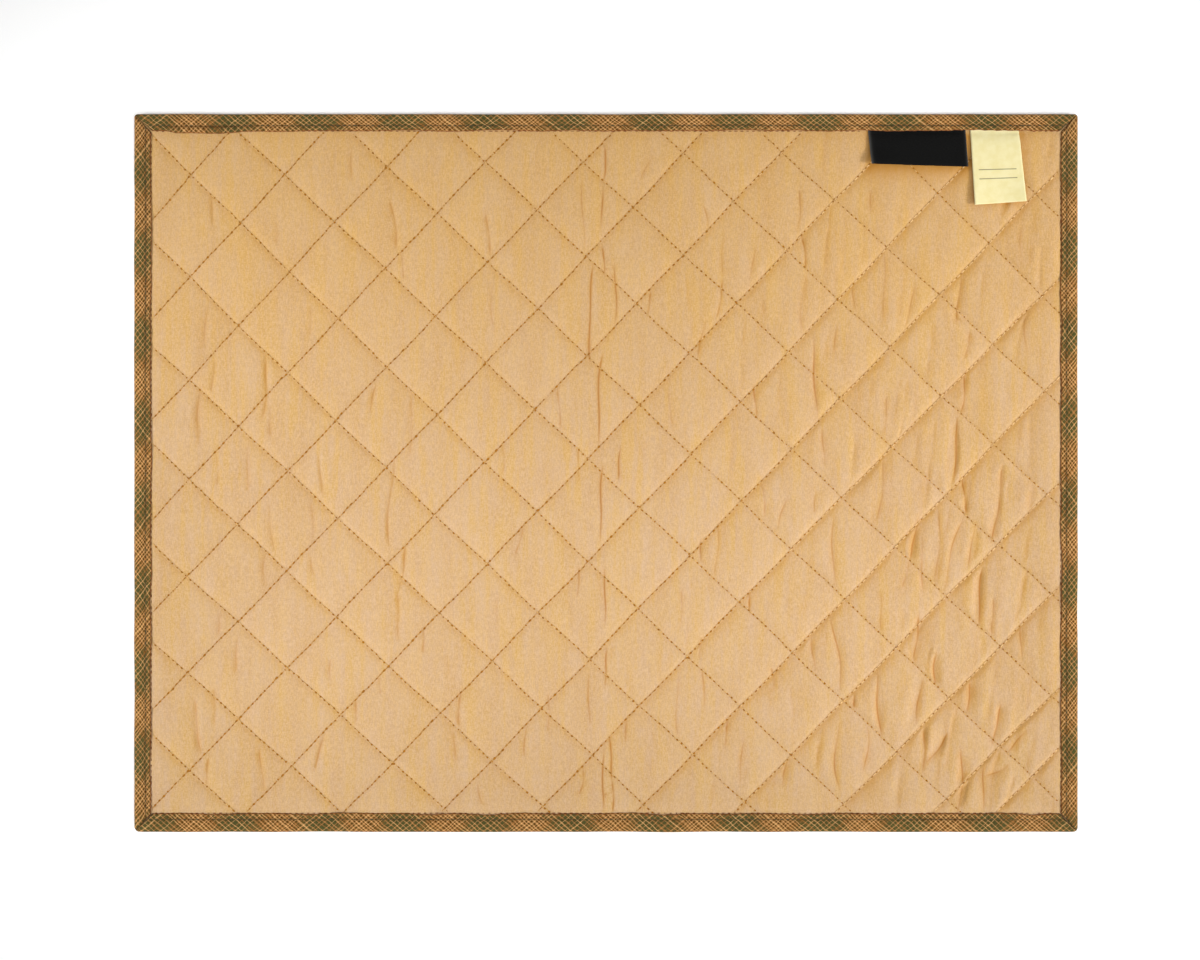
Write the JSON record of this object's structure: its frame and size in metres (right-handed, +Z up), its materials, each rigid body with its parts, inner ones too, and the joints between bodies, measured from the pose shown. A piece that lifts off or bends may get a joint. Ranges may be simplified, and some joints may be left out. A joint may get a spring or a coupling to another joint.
{
  "type": "fabric placemat",
  "caption": "Rectangular quilted cotton placemat with diamond seams, a folded bias binding in a small check and blank sewn-in labels, lying flat with its backing side up.",
  "frame": {"origin": "on the surface the mat lies on, under the middle of its outline", "axes": "+X along the long side, +Y along the short side towards the edge the labels hang from, +Z up out of the backing"},
  "size_m": [0.46, 0.35, 0.0065],
  "materials": {
    "backing_cotton": "plain-weave tan cotton",
    "check_cotton": "olive and terracotta check cotton, cut on the bias",
    "black_satin": "black woven satin",
    "pale_tape": "pale yellow coated tape"
  },
  "bodies": {
    "root": {"quilted_panel": "backing_cotton", "edge_binding": "check_cotton", "black_label": "black_satin", "care_label": "pale_tape"}
  },
  "joints": []
}
